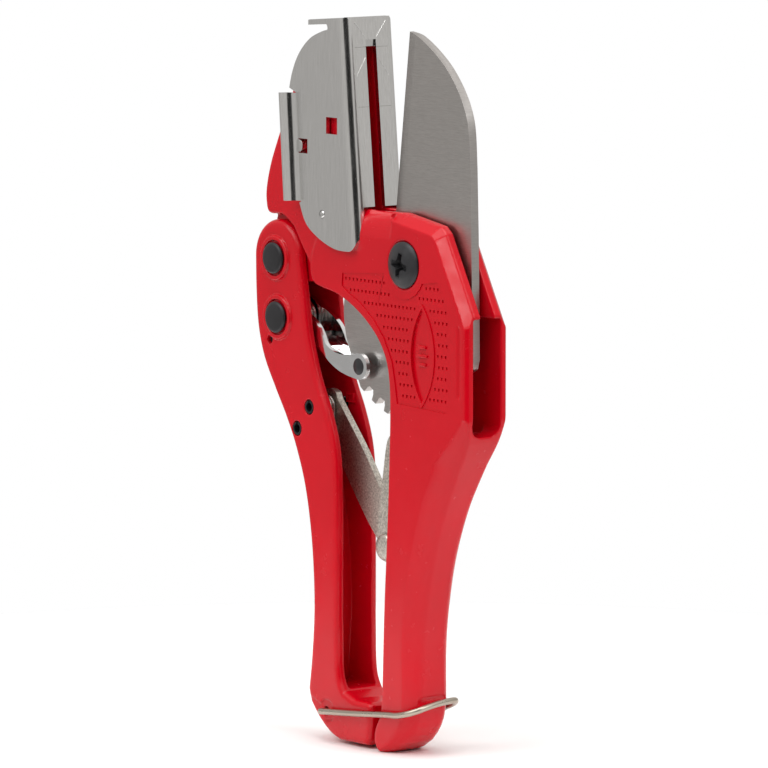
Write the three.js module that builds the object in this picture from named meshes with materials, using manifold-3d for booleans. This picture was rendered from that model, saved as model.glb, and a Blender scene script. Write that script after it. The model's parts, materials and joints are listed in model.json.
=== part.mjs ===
// Ratcheting pipe cutter: a fixed handle cast in one with head and jaw, a channel-section
// moving handle, a pivoting ratchet blade, a folded anvil plate and a wire latch.
// Millimetres, +Z up along the handles, -Y the screw-head side, +X the blade's back.
// Outlines are drawn in the X-Z plane about the blade pivot; the last group moves that
// pivot so that the origin is midway between the extremes, at the level of the foot.
import * as THREE from "three";
import { mergeVertices } from "three/addons/utils/BufferGeometryUtils.js";
import Module from "manifold-3d";

const wasm = await Module();
wasm.setup();

// ---- driving dimensions -------------------------------------------------------------
const PIVOT_X = 21.8; // blade pivot, from the origin
const PIVOT_Z = 147.8;
const BODY_HALF = 8; // half thickness of casting and moving handle
const GAP = 0.3; // clearance between neighbouring pieces
const CAVITY_HALF = 5.15; // half width of the hollow in the head
const SLOT_HALF = 2.5; // half width of the blade slot
const BLADE_HALF = 1.4;
const PIVOT_BORE_R = 4.75;
const SCREW_SEAT_R = 7.4; // shallow seats for the pivot screw's and nut's heads
const SEAT_DEPTH = 0.7;
const ANVIL_BORE_R = 1.35;
const KNEE_PIN_BORE_R = 2.15;
const ROLL_PIN_BORE_R = 2.3;
const THROUGH = 20; // half length of a tool that cuts right through the piece
const TOOTH_TIP_R = 49;
const TOOTH_ROOT_R = 46;
const TOOTH_PITCH_DEG = 7.6;
const TOOTH_COUNT = 5;
const FIRST_TOOTH_DEG = 233.6;
const SWEEP_R = 49.8; // blade slot radius, just over the tooth tips
const SHEET = 1.4; // anvil sheet thickness
const WALL = 2.7; // moving handle wall
const WIRE_R = 0.95; // latch wire
const BAIL_HALF = 9.7; // latch wire's centre line, from the middle plane
const RIVET = { headR: 4.8, shankR: 3.4, headH: 0.9 };
const BOSS = { r: 6.4, height: 0.5 }; // raised faces of the moving handle under the rivets
const HANDLE_PIVOT = [-62.7, -2.6];
const PAWL_PIVOT = [-61.5, -20.5];
const SPRING_HOLE = [-65.8, -27.7];
const ARM_PIN = [-46.3, -46.7];
const STOP_PIN = [-52.3, -53.7];
const KNEE = [-15.1, -86.5];
const LINK_PIN = [-6, -56];
const LATCH_PIVOT = [-38.5, -138.6];
const ANVIL_PIN = [-37.3, 12.6];
const LATCH_NOTCH = [6.7, -131.4];

// ---- shape helpers ------------------------------------------------------------------
function solidOf(geometry) {
  const bare = geometry.index ? geometry.toNonIndexed() : geometry.clone();
  bare.deleteAttribute("normal");
  bare.deleteAttribute("uv");
  const merged = mergeVertices(bare, 1e-4);
  return new wasm.Manifold(
    new wasm.Mesh({
      numProp: 3,
      vertProperties: new Float32Array(merged.attributes.position.array),
      triVerts: new Uint32Array(merged.index.array),
    }),
  );
}

function geometryOf(solid) {
  const mesh = solid.getMesh();
  const geometry = new THREE.BufferGeometry();
  geometry.setAttribute("position", new THREE.BufferAttribute(mesh.vertProperties, 3));
  geometry.setIndex(new THREE.BufferAttribute(mesh.triVerts, 1));
  const flat = geometry.toNonIndexed();
  flat.computeVertexNormals();
  return flat;
}

const joined = (...solids) => solids.reduce((a, b) => a.add(b));
const cut = (base, ...tools) => tools.reduce((a, b) => a.subtract(b), base);

// A closed X-Z outline between two Y levels, its edges rounded by `edge`.
function slab(points, yLow, yHigh, edge = 0, segments = 2) {
  const shape = new THREE.Shape(points.map(([x, z]) => new THREE.Vector2(x, z)));
  const geometry = new THREE.ExtrudeGeometry(shape, {
    depth: yHigh - yLow - 2 * edge,
    bevelEnabled: edge > 0,
    bevelThickness: edge,
    bevelSize: edge,
    bevelOffset: -edge,
    bevelSegments: segments,
    curveSegments: 1,
  });
  geometry.rotateX(Math.PI / 2);
  geometry.translate(0, yHigh - edge, 0);
  return solidOf(geometry);
}

// A round bar along Y.
function bar([x, z], radius, yLow, yHigh, segments = 28) {
  const geometry = new THREE.CylinderGeometry(radius, radius, yHigh - yLow, segments);
  geometry.translate(x, (yLow + yHigh) / 2, z);
  return solidOf(geometry);
}

// A turned piece about an axis along Y: profile points are [radius, y].
function turned([x, z], profile, segments = 28) {
  const points = profile.map(([r, y]) => new THREE.Vector2(r, y));
  const geometry = new THREE.LatheGeometry(points, segments);
  geometry.translate(x, 0, z);
  return solidOf(geometry);
}

function block(low, high) {
  const size = high.map((v, i) => v - low[i]);
  const geometry = new THREE.BoxGeometry(...size);
  geometry.translate(...high.map((v, i) => (v + low[i]) / 2));
  return solidOf(geometry);
}

// A round wire of radius r on a smooth path through 3-D points.
function wire(points, r, steps, sides) {
  const path = new THREE.CatmullRomCurve3(
    points.map((p) => new THREE.Vector3(...p)), false, "centripetal",
  );
  const section = new THREE.Shape(arc([0, 0], r, 0, 360, sides, false)
    .map(([x, y]) => new THREE.Vector2(x, y)));
  return solidOf(new THREE.ExtrudeGeometry(section, {
    steps, extrudePath: path, bevelEnabled: false,
  }));
}

// Points on an arc, in degrees; the last one is left out when `ends` is false.
function arc([x, z], r, from, to, count, ends = true) {
  return Array.from({ length: ends ? count + 1 : count }, (_, i) => {
    const a = THREE.MathUtils.degToRad(from + ((to - from) * i) / count);
    return [x + r * Math.cos(a), z + r * Math.sin(a)];
  });
}

// A smooth open curve through the points.
function smooth(points, divisions) {
  const curve = new THREE.SplineCurve(points.map(([x, z]) => new THREE.Vector2(x, z)));
  return curve.getPoints(divisions).map((p) => [p.x, p.y]);
}

const shifted = (points, dx, dz) => points.map(([x, z]) => [x + dx, z + dz]);

// ---- finishes -----------------------------------------------------------------------
const finish = (color, roughness, metalness) => () =>
  new THREE.MeshStandardMaterial({ color, roughness, metalness });
const enamel = finish(0xc8202c, 0.28, 0);
const stainless = finish(0xb9b8b4, 0.35, 1);
const chrome = finish(0xd9dadb, 0.12, 1);
const nickel = finish(0xb9b09f, 0.45, 1);
const blackSteel = finish(0x26272a, 0.42, 0.4);
const springSteel = finish(0xb7b5b0, 0.25, 1);

const tool = new THREE.Group();
tool.position.set(PIVOT_X, 0, PIVOT_Z);

function place(name, solid, material) {
  const mesh = new THREE.Mesh(geometryOf(solid), material());
  mesh.name = name;
  tool.add(mesh);
}

// ---- fixed casting: jaw, head and fixed handle ----------------------------------------
function headAndHandleOutline() {
  const back = smooth([[30.2, -44], [28.2, -51.2], [21.9, -61.7], [15.3, -73.7], [9.7, -88.3],
    [6.4, -102.9], [4.8, -116], [4.5, -131]], 22);
  const foot = smooth([[4.1, -133.4], [2.4, -138.8], [-2, -144], [-7.5, -147.2],
    [-12.2, -147.6], [-14.3, -144.4], [-13.6, -140.4], [-11.2, -136.5]], 16);
  const front = smooth([[-10.6, -130], [-9.7, -105], [-8.4, -83.5], [-7.3, -62], [-6.8, -45],
    [-7.2, -35.5], [-9, -28.6], [-13, -22.8], [-19, -17.8], [-26, -13.8], [-33, -11.2],
    [-40, -9.9], [-44, -8.6], [-45.7, -5.4], [-45.4, -0.8], [-43.2, 4.4]], 44);
  const top = [[-41, 7.2], [-30, 15], [-15.5, 14.8], [-3, 15.2], [14.6, 12.4], [17.2, 10.2],
    [30.2, -13.4]];
  return [...top, ...back, ...foot, ...front];
}

function jawOutline() {
  const back = smooth([[-54.2, 7.4], [-60, 10.8], [-66.6, 10.9], [-68.2, 14.8], [-67.9, 19.6],
    [-65.8, 26.5], [-62.5, 33.6]], 12);
  const crown = smooth([[-56, 46.5], [-50.5, 56], [-43, 63.4], [-34.5, 67.6], [-28.8, 68]], 8);
  return [[-23, 6], [-44, -6], [-46.5, -3], [-50.6, 2.4], ...back, ...crown, [-23.6, 14]];
}

function lugOutline() {
  const crest = [[-50, 8], [-54.2, 10.9], [-60, 11.4], [-65.4, 11.4], [-66.6, 8.2]];
  return [...arc(HANDLE_PIVOT, 7.3, 112, 262, 12), [-44, -8.6], [-40, 6], ...crest];
}

// The hollow that takes the blade's tail, the pawl and the links: open to the left all the
// way down, and through the back of the head as a slot with a round lower end.
function cavityOutline() {
  return [[-60, -13.6], [-24, -13.6], [-14, -14.2], [40, -14.2], [40, -46],
    ...arc([29.5, -44.6], 4.6, -20, -90, 4), [14, -49.8], [3.5, -58], [-1.6, -72],
    [-3.2, -97], [-30, -97], [-60, -60]];
}

function fixedCasting() {
  const mass = joined(
    slab(headAndHandleOutline(), -BODY_HALF, BODY_HALF, 2.2, 2),
    slab(jawOutline(), 0.3 - BODY_HALF, BODY_HALF - 0.3, 1, 1),
    slab(lugOutline(), -4.9, 4.9),
  );
  const bladeSlot = joined(
    bar([0, 0], SWEEP_R, -SLOT_HALF, SLOT_HALF, 52),
    block([-37, -SLOT_HALF, 30], [-10, SLOT_HALF, 75]),
  );
  return cut(
    mass,
    bladeSlot,
    slab(cavityOutline(), -CAVITY_HALF, CAVITY_HALF),
    bar([0, 0], PIVOT_BORE_R, -THROUGH, THROUGH),
    bar([0, 0], SCREW_SEAT_R, -THROUGH, SEAT_DEPTH - BODY_HALF, 36),
    bar([0, 0], SCREW_SEAT_R, BODY_HALF - SEAT_DEPTH, THROUGH, 36),
    bar(HANDLE_PIVOT, RIVET.shankR + 0.15, -THROUGH, THROUGH),
    bar(LINK_PIN, 2.05, -6.6, 6.6, 18),
    bar(ANVIL_PIN, ANVIL_BORE_R, -THROUGH, THROUGH, 16),
    bar(LATCH_NOTCH, 2.9, -THROUGH, THROUGH, 20),
  );
}
place("fixed_casting", fixedCasting(), enamel);

// ---- anvil: one folded sheet, web with a central slot, two wings, a top flange ---------
const WEB_TOP = [-26.6, 72.2];
const WEB_LOW = [-21.3, 15.6];
const webLine = (z) =>
  WEB_LOW[0] + ((z - WEB_LOW[1]) * (WEB_TOP[0] - WEB_LOW[0])) / (WEB_TOP[1] - WEB_LOW[1]);
const WING_IN = BODY_HALF + GAP;
const WING_OUT = WING_IN + SHEET;
const LIP_LOW = [-48.2, 15.9]; // the line where the outward lip's bend starts, X and Z
const LIP_HIGH = [-50.6, 48.4];
const LIP_BEND_R = 2;
const LIP_REACH = 3.8; // how far the lip stands out from the wing

function anvilWingOutline() {
  const root = [[webLine(70.8), 70.8], [-36.4, 70.4], [-35, 69.8], [-34.4, 68.3]];
  const shoulder = smooth([[-37.5, 67.5], [-42.4, 65.6], [-46.4, 62.7], [-49.7, 58.9],
    [-52.1, 54.2], [-53.4, 49.8]], 10);
  const belly = smooth([[-48.4, 15.3], [-45.2, 9.3], [-39.1, 5.3], [-31.8, 2.7], [-25.5, 2.2],
    [-22.6, 2.9], [-20.8, 6.4]], 12);
  return [...root, ...shoulder, LIP_HIGH, LIP_LOW, ...belly, [-18.6, 12.4],
    [webLine(15.6), 15.6]];
}

// The lip along a wing's back edge: a quarter bend outwards, leaning with the edge.
function anvilLip(side) {
  const centre = [0, WING_OUT + LIP_BEND_R];
  const section = [
    [1, WING_OUT],
    ...arc(centre, LIP_BEND_R, 270, 180, 6),
    [-LIP_BEND_R, WING_OUT + LIP_REACH],
    [-LIP_BEND_R - SHEET, WING_OUT + LIP_REACH],
    ...arc(centre, LIP_BEND_R + SHEET, 180, 270, 6),
    [1, WING_IN],
  ];
  const shape = new THREE.Shape(section.map(([x, y]) => new THREE.Vector2(x, y * side)));
  const height = LIP_HIGH[1] - LIP_LOW[1];
  const geometry = new THREE.ExtrudeGeometry(shape, { depth: height, bevelEnabled: false });
  const lean = (LIP_HIGH[0] - LIP_LOW[0]) / height;
  geometry.applyMatrix4(new THREE.Matrix4().set(
    1, 0, lean, LIP_LOW[0],
    0, 1, 0, 0,
    0, 0, 1, LIP_LOW[1],
    0, 0, 0, 1,
  ));
  return solidOf(geometry);
}

function anvilPlate() {
  const webOutline = [[webLine(15.6), 15.6], [webLine(72.2), 72.2], [webLine(72.2) - SHEET, 72.2],
    [webLine(15.6) - SHEET, 15.6]];
  const flange = [[webLine(72.2), 72.2], [-43, 70.9], ...smooth([[-45.6, 70.5], [-46.6, 69.8],
    [-46.2, 69.1]], 3), [-43, 69.3], [webLine(70.8), 70.8]];
  const wing = anvilWingOutline();
  const sheet = joined(
    slab(webOutline, -WING_OUT, WING_OUT),
    slab(flange, -WING_OUT, WING_OUT),
    slab(wing, -WING_OUT, -WING_IN),
    slab(wing, WING_IN, WING_OUT),
    anvilLip(-1),
    anvilLip(1),
  );
  return cut(
    sheet,
    block([-40, -1.95, 10], [-10, 1.95, 65.4]),
    block([-35.2, -THROUGH, 37], [-29.8, THROUGH, 42]),
    block([-48.8, -THROUGH, 30.4], [-44.4, THROUGH, 34.8]),
    bar(ANVIL_PIN, ANVIL_BORE_R, -THROUGH, THROUGH, 16),
  );
}
place("anvil_plate", anvilPlate(), chrome);

// Two short drive pins hold the wings to the casting's cheeks, clear of the blade slot.
function anvilPin(side) {
  const profile = [[0, -9.9], [0.9, -9.8], [1.2, -9.5], [1.2, -3.2], [0, -3.2]];
  const pin = profile.map(([r, y]) => [r, y * -side]);
  return turned(ANVIL_PIN, side > 0 ? pin.reverse() : pin, 16);
}
place("anvil_pin_front", anvilPin(-1), chrome);
place("anvil_pin_back", anvilPin(1), chrome);

// ---- blade: ground knife above, toothed tail below ------------------------------------
function toothedTail() {
  const points = [];
  for (let i = 0; i < TOOTH_COUNT; i += 1) {
    const at = FIRST_TOOTH_DEG + i * TOOTH_PITCH_DEG;
    points.push(
      ...arc([0, 0], TOOTH_TIP_R, at, at + 2.6, 1),
      ...arc([0, 0], TOOTH_ROOT_R, at + 3.6, at + 6.8, 2),
    );
  }
  return points;
}

function bladeOutline() {
  const nose = smooth([[-6, 68.8], [-1.4, 67.6], [5, 64.2], [11.6, 59.4], [17, 53.6], [20.8, 47.5],
    [22.8, 41], [23.6, 30]], 18);
  const spine = [[24.2, 10], [24.8, -26.6]];
  const heel = smooth([[24, -29.6], [20.6, -31.4], [15.6, -32.4], [10, -36.5], [6, -42.4]], 8);
  const tailEnd = arc([0, 0], TOOTH_TIP_R, 275, 272, 1);
  const leftEdge = smooth([[-33.4, -31], [-36.4, -23.5], [-37.2, -15], [-34.6, -7.6], [-26, -2],
    [-18.6, 4], [-14.6, 11]], 12);
  return [...nose, ...spine, ...heel, ...tailEnd, ...toothedTail().reverse(), ...leftEdge,
    [-12.6, 15.4]];
}

// The cutting edge is ground from both faces over a narrow band behind the edge line.
function grindWedge(side) {
  const section = [[-3, -0.12], [4.2, BLADE_HALF + 0.02], [4.2, 4], [-3, 4]];
  const wedge = new THREE.Shape(section.map(([x, y]) => new THREE.Vector2(x, y * side)));
  const geometry = new THREE.ExtrudeGeometry(wedge, { depth: 60, bevelEnabled: false });
  geometry.rotateY(Math.atan2(6.4, 53.4));
  geometry.translate(-12.6, 0, 14);
  return solidOf(geometry);
}

function blade() {
  return cut(
    slab(bladeOutline(), -BLADE_HALF, BLADE_HALF),
    grindWedge(1),
    grindWedge(-1),
    bar([0, 0], PIVOT_BORE_R, -THROUGH, THROUGH),
  );
}
place("blade", blade(), stainless);

// ---- blade pivot: truss-head screw into a sleeve nut, with two spacer washers ----------
function recessedCross([x, z], y, width, depth) {
  const arm = (w, h) => block([x - w / 2, y - 0.1, z - h / 2], [x + w / 2, y + depth, z + h / 2]);
  return joined(arm(width, 1.5), arm(1.5, width), bar([x, z], 1.5, y - 0.1, y + depth + 0.5, 12));
}

function pivotScrew() {
  const face = -BODY_HALF + 0.4;
  const body = turned([0, 0], [[0, -9.9], [2.6, -9.8], [5, -9.3], [6.5, -8.5], [7, face - 0.2],
    [6.9, face], [2.4, face], [2.4, 3.4], [2, 3.8], [0, 3.8]], 36);
  return cut(body, recessedCross([0, 0], -9.9, 6.2, 1.9));
}
place("pivot_screw", pivotScrew(), blackSteel);

function pivotSleeveNut() {
  const face = BODY_HALF - 0.4;
  return turned([0, 0], [[0, 4.2], [2.7, 4.2], [2.7, -7.2], [4.6, -7.2], [4.6, face],
    [7, face], [6.6, 8.3], [5, 9.1], [0, 9.6]], 36);
}
place("pivot_sleeve_nut", pivotSleeveNut(), blackSteel);

function washer(yLow, yHigh, inner, outer) {
  return cut(bar([0, 0], outer, yLow, yHigh, 32), bar([0, 0], inner, yLow - 1, yHigh + 1, 32));
}
place("blade_washer_front", washer(-2.4, -1.5, PIVOT_BORE_R, 9), springSteel);
place("blade_washer_back", washer(1.5, 2.4, PIVOT_BORE_R, 9), springSteel);

// ---- moving handle: channel section, ears at the top, solid foot -----------------------
function leverLeftEdge() {
  return smooth([[-73.8, -2.4], [-73.5, -14], [-72.4, -24.3], [-69.4, -33.6], [-63.9, -42.6],
    [-58.3, -51], [-53.6, -59.6], [-49.2, -71], [-46.3, -84.8], [-44.9, -99], [-44.8, -111],
    [-45.9, -123.4], [-47.2, -132.6]], 34);
}

function leverOutline() {
  const toe = smooth([[-46.2, -136.6], [-42, -141.2], [-36.4, -145.2], [-31.8, -146.8]], 6);
  const foot = [[-18.4, -146.8], [-16.4, -145], [-15.9, -141.6], [-15.6, -134.4],
    [-17.2, -133.6], [-24.5, -133.4]];
  const right = smooth([[-29.4, -131.5], [-31.8, -126], [-32.3, -112], [-32.3, -91.9],
    [-32.4, -69], [-33.6, -57.6], [-37.2, -47.6], [-42.4, -37.4], [-46.4, -26], [-48.6, -14],
    [-50.6, -2.4]], 30);
  return [...leverLeftEdge(), ...toe, ...foot, ...right,
    ...arc([-62.2, -2.4], 11.6, 0, 180, 16).slice(1, -1)];
}

// Hollow of the channel: one wall thickness inside the left edge, open at the right, and
// open round the top between the ears so that the casting's lug can turn there.
function leverHollow() {
  const inner = shifted(leverLeftEdge(), WALL, 0).slice(2);
  return [[-85, 20], [-85, 2.6], [-70.6, 2.6], ...inner, [-43.4, -131], [-20, -131], [-10, -120],
    [-10, 20]];
}

function movingHandle() {
  const mass = slab(leverOutline(), -BODY_HALF, BODY_HALF, 1.4, 1);
  const boss = (at) => joined(
    bar(at, BOSS.r, -BODY_HALF - BOSS.height, 1 - BODY_HALF),
    bar(at, BOSS.r, BODY_HALF - 1, BODY_HALF + BOSS.height),
  );
  return cut(
    joined(mass, boss(HANDLE_PIVOT), boss(PAWL_PIVOT)),
    slab(leverHollow(), -BODY_HALF + WALL, BODY_HALF - WALL),
    bar(HANDLE_PIVOT, RIVET.shankR + GAP, -THROUGH, THROUGH),
    bar(PAWL_PIVOT, RIVET.shankR + GAP, -THROUGH, THROUGH),
    bar(SPRING_HOLE, 1.6, -THROUGH, THROUGH, 16),
    bar(ARM_PIN, ROLL_PIN_BORE_R, -THROUGH, THROUGH, 18),
    bar(STOP_PIN, ROLL_PIN_BORE_R, -THROUGH, THROUGH, 18),
    bar(LATCH_PIVOT, 1.3, -THROUGH, THROUGH, 14),
  );
}
place("moving_handle", movingHandle(), enamel);

// ---- rivets and pins of the moving handle ----------------------------------------------
function rivet(at, reach) {
  const under = reach + GAP;
  const top = under + RIVET.headH;
  return turned(at, [[0, -top], [RIVET.headR - 0.5, -top], [RIVET.headR, -top + 0.35],
    [RIVET.headR, -under], [RIVET.shankR, -under], [RIVET.shankR, under], [RIVET.headR, under],
    [RIVET.headR, top - 0.35], [RIVET.headR - 0.5, top], [0, top]], 28);
}
place("handle_rivet", rivet(HANDLE_PIVOT, BODY_HALF + BOSS.height), blackSteel);
place("pawl_rivet", rivet(PAWL_PIVOT, BODY_HALF + BOSS.height), blackSteel);

function rollPin(at) {
  return cut(bar(at, 2, -BODY_HALF + 0.2, BODY_HALF - 0.2, 20), bar(at, 1.4, -9, 9, 16));
}
place("roll_pin_upper", rollPin(ARM_PIN), blackSteel);
place("roll_pin_lower", rollPin(STOP_PIN), blackSteel);

// ---- pawl: folded from sheet, two cheeks that straddle the blade, joined underneath ----
const PAWL_OUT = 4.75;
const PAWL_IN = 3.35;

function pawlCheekOutline() {
  const top = smooth([[-57.4, -16.6], [-51, -18.8], [-46, -21.8], [-43.6, -24.6], [-41.8, -27.4],
    [-38, -29.2], [-34.4, -29.8], [-30.4, -29.8]], 14);
  const nose = arc([-25.8, -32.8], 4, 125, -105, 10);
  const bottom = smooth([[-31, -36], [-35.6, -34.8], [-40.2, -32.6], [-44, -29.8],
    [-48, -27.8], [-55.8, -26.6]], 12);
  return [...top, ...nose, ...bottom, ...arc(PAWL_PIVOT, 5.9, 305, 45, 10)];
}

function pawlWebOutline() {
  const inner = smooth([[-36.4, -33], [-40.6, -30.9], [-44.6, -28.2], [-49, -26.2],
    [-53.4, -25]], 8);
  const outer = smooth([[-35.6, -34.8], [-40.2, -32.6], [-44, -29.8], [-48, -27.8],
    [-54.2, -26.8]], 8);
  return [...inner, ...outer.reverse()];
}

function pawl() {
  const cheeks = joined(
    slab(pawlCheekOutline(), -PAWL_OUT, -PAWL_IN),
    slab(pawlCheekOutline(), PAWL_IN, PAWL_OUT),
    slab(pawlWebOutline(), -PAWL_OUT, PAWL_OUT),
  );
  return cut(cheeks, bar(PAWL_PIVOT, RIVET.shankR + 0.15, -THROUGH, THROUGH));
}
place("pawl", pawl(), chrome);

function torsionSpring([x, z], coilR, wireR, yLow, turns, pitch, legs) {
  const stepsPerTurn = 12;
  const yHigh = yLow + pitch * turns;
  const coil = Array.from({ length: turns * stepsPerTurn + 1 }, (_, i) => {
    const a = (2 * Math.PI * i) / stepsPerTurn;
    return [x + coilR * Math.cos(a), yLow + (pitch * i) / stepsPerTurn, z - coilR * Math.sin(a)];
  });
  const leg = (y, reach) => [reach, reach * 0.6, reach * 0.25].map((d) => [x + coilR, y, z + d]);
  const points = [...leg(yLow, legs[0]), ...coil, ...leg(yHigh, legs[1]).reverse()];
  return wire(points, wireR, turns * stepsPerTurn + 10, 6);
}
place("pawl_spring", torsionSpring(PAWL_PIVOT, 4.8, 0.6, -2.5, 4, 1.25, [8, -4.5]), springSteel);

// ---- knee linkage between the handles --------------------------------------------------
function linkArmOutline() {
  const upper = smooth([[-42.2, -44.4], [-37.2, -50], [-29.9, -58.2], [-22.7, -67.6],
    [-16.6, -76], [-11.4, -84]], 14);
  const lower = smooth([[-19.2, -88.4], [-28.2, -79.2], [-37.4, -67.9], [-46.6, -56],
    [-50.6, -50]], 10);
  return [...upper, ...arc(KNEE, 4.6, 20, -150, 8), ...lower, ...arc(ARM_PIN, 5.2, 200, 50, 8)];
}
place("link_arm", cut(
  slab(linkArmOutline(), 0, 2.2),
  bar(ARM_PIN, KNEE_PIN_BORE_R, -THROUGH, THROUGH, 18),
  bar(KNEE, KNEE_PIN_BORE_R, -THROUGH, THROUGH, 18),
), nickel);

function linkPlateOutline() {
  const left = smooth([[-19.6, -85.4], [-18.6, -76], [-16.6, -64], [-14.6, -54.4],
    [-11.4, -51.6]], 8);
  return [...arc(KNEE, 4.5, -20, -170, 8), ...left, ...arc(LINK_PIN, 4.2, 110, -20, 7)];
}
place("link_plate", cut(
  slab(linkPlateOutline(), -2.5, -0.3),
  bar(LINK_PIN, 2.1, -THROUGH, THROUGH, 18),
  bar(KNEE, 2.6, -THROUGH, THROUGH, 18),
), nickel);
place("link_pin", bar(LINK_PIN, 1.95, -6.3, 6.3, 18), springSteel);
place("knee_rivet", turned(KNEE, [[0, -4], [3.2, -3.9], [4, -3.4], [4, -2.8], [2, -2.8], [2, 2.5],
  [3.4, 2.5], [3.4, 3.2], [2.8, 3.6], [0, 3.6]], 24), nickel);
place("return_spring", torsionSpring(ARM_PIN, 3.1, 0.55, -4.5, 3, 1.25, [6, -8]), springSteel);

// ---- latch: wire bail hinged in the moving handle's foot -------------------------------
function latchBail() {
  const [x, z] = LATCH_PIVOT;
  const side = (s) => [
    [x, 6.2 * s, z],
    [x, 8 * s, z],
    [x + 0.5, 9.3 * s, z + 0.05],
    [x + 2.4, BAIL_HALF * s, z + 0.3],
    [-22, BAIL_HALF * s, -137.1],
    [-7, BAIL_HALF * s, -135.2],
    [0.5, 9.5 * s, -133.4],
    [5, 8 * s, -132.2],
    [6.7, 4.6 * s, -131.7],
  ];
  return wire([...side(-1), [6.8, 0, -131.6], ...side(1).reverse()], WIRE_R, 56, 8);
}
place("latch_bail", latchBail(), nickel);

export default tool;
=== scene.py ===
"""Looks of the ratcheting pipe cutter: every visible piece is rebuilt at full detail over the
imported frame. Shapes are drawn in millimetres about the blade pivot, in the X-Z plane, and
moved to the row frame in metres when each piece is placed on its body."""

import json
import math

import bmesh
import bpy
from mathutils import Matrix, Vector


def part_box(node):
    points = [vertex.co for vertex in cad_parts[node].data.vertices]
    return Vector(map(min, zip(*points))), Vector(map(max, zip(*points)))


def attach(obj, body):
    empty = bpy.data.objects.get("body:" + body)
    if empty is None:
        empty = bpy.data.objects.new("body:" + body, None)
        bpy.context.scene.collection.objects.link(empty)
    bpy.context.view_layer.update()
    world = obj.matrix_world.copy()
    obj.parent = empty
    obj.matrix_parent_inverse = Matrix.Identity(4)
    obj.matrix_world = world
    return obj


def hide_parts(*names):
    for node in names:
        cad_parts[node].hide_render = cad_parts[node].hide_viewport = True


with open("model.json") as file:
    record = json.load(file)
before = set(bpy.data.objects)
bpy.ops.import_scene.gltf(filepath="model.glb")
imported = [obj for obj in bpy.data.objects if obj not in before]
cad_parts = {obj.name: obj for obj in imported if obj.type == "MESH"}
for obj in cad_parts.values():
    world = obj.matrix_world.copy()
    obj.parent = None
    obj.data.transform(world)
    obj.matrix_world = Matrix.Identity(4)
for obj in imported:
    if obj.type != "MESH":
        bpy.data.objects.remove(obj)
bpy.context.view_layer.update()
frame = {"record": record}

# ---- driving dimensions, millimetres --------------------------------------------------
MM = 0.001
BODY_HALF = 8.0  # half thickness of the casting and of the moving handle
SLOT_HALF = 2.5  # blade slot
CAVITY_HALF = 5.15  # hollow in the head and the handle
BLADE_HALF = 1.4
TOOTH_TIP_R = 49.0
TOOTH_ROOT_R = 46.0
TOOTH_PITCH = 7.6  # degrees
TOOTH_COUNT = 5
FIRST_TOOTH = 233.6  # degrees about the blade pivot
SWEEP_R = 49.8  # the slot that the blade turns in
SHEET = 1.4  # thickness of the anvil's sheet
WALL = 2.7  # wall of the moving handle
WIRE_R = 0.95
THROUGH = 20  # reach along Y of a tool that cuts right through
PIVOT_BORE_R = 4.75
SCREW_SEAT_R = 7.4
SEAT_DEPTH = 0.7
RIVET_BORE_R = 3.7
ROLL_PIN_BORE_R = 2.3
CAST_VOXEL = 0.34
CAST_RELAX = 4  # rounds of smoothing after the casting is remeshed

JOINTS = {j["name"]: j for j in frame["record"]["behaviour"]["joints"]}
PIVOT = Vector(JOINTS["blade_hinge"]["pos_m"])


def joint_at(name):
    """A joint's place in millimetres from the blade pivot, as (x, z)."""
    away = (Vector(JOINTS[name]["pos_m"]) - PIVOT) / MM
    return away.x, away.z


def node_at(node):
    """The middle of a CAD node in millimetres from the blade pivot, as (x, z)."""
    low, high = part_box(node)
    middle = ((Vector(low) + Vector(high)) / 2 - PIVOT) / MM
    return middle.x, middle.z


HANDLE_PIVOT = joint_at("moving_handle_hinge")
PAWL_PIVOT = joint_at("pawl_hinge")
ARM_PIN = joint_at("link_arm_hinge")
LINK_PIN = joint_at("link_plate_hinge")
LATCH_PIVOT = joint_at("latch_hinge")
KNEE = node_at("knee_rivet")
STOP_PIN = node_at("roll_pin_lower")
ANVIL_PIN = node_at("anvil_pin_front")
SPRING_HOLE = (PAWL_PIVOT[0] - 4.3, PAWL_PIVOT[1] - 7.2)


# ---- outlines ------------------------------------------------------------------------
def arc(centre, radius, start, end, count):
    turns = [math.radians(start + (end - start) * i / count) for i in range(count + 1)]
    return [(centre[0] + radius * math.cos(t), centre[1] + radius * math.sin(t)) for t in turns]


def smooth(points, per_span=8):
    """A Catmull-Rom curve through the points."""
    ends = [points[0], *points, points[-1]]
    out = []
    for a, b, c, d in zip(ends, ends[1:], ends[2:], ends[3:]):
        for i in range(per_span):
            t = i / per_span
            out.append(tuple(
                0.5 * (2 * q + (r - p) * t + (2 * p - 5 * q + 4 * r - s) * t**2
                       + (3 * q - p - 3 * r + s) * t**3)
                for p, q, r, s in zip(a, b, c, d)
            ))
    return [*out, points[-1]]


# ---- mesh building -------------------------------------------------------------------
def new_object(name, mesh):
    obj = bpy.data.objects.new(name, mesh)
    bpy.context.scene.collection.objects.link(obj)
    return obj


def object_from(name, bm):
    bmesh.ops.recalc_face_normals(bm, faces=bm.faces)
    mesh = bpy.data.meshes.new(name)
    bm.to_mesh(mesh)
    bm.free()
    return new_object(name, mesh)


def drawn_out(corners, vec):
    """A closed outline of 3-D corners, drawn out along a vector, as a bmesh."""
    bm = bmesh.new()
    face = bm.faces.new([bm.verts.new(corner) for corner in corners])
    made = bmesh.ops.extrude_face_region(bm, geom=[face])["geom"]
    moved = [v for v in made if isinstance(v, bmesh.types.BMVert)]
    bmesh.ops.translate(bm, verts=moved, vec=vec)
    return bm


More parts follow.
